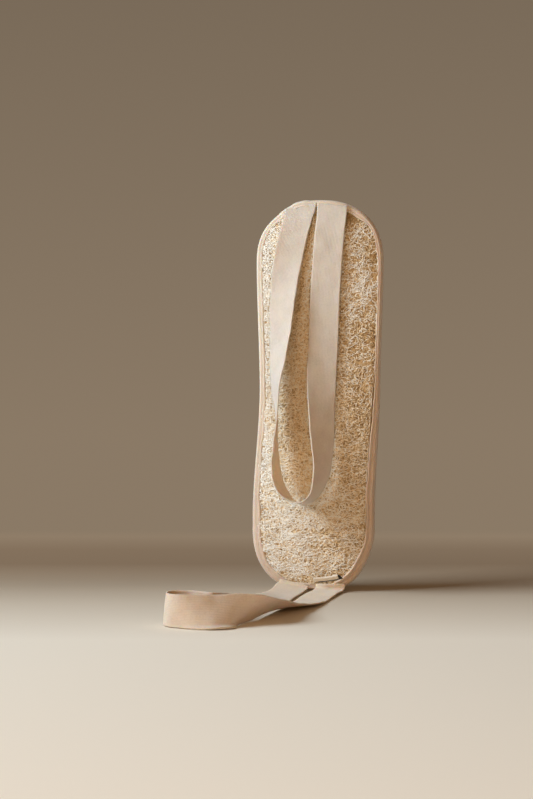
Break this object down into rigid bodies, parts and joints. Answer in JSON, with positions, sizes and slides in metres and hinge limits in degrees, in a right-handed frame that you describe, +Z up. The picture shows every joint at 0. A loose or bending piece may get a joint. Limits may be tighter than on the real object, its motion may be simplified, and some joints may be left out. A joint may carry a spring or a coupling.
{
  "type": "loofah back scrubber",
  "caption": "Long round-ended pad of natural loofah with a cloth back and a cotton-bound edge, standing on end, with a loop of cotton tape at each end to pull it across the back.",
  "frame": {"origin": "on the floor under the middle of the pad's foot, in the binding's middle plane", "axes": "+Z up along the standing pad, -Y the way the loofah faces, +X to the right seen from the loofah side"},
  "size_m": [0.1278, 0.2333, 0.33],
  "materials": {
    "loofah": "dry cream plant fibre, an open net with brown hollows, matt",
    "backing": "undyed cotton terry, matt",
    "cotton": "undyed woven cotton tape, matt",
    "label": "blank woven label, dark inside"
  },
  "bodies": {
    "root": {"loofah": "loofah", "backing": "backing", "binding": "cotton", "upper_loop": "cotton", "lower_loop": "cotton", "label": "label"}
  },
  "joints": []
}
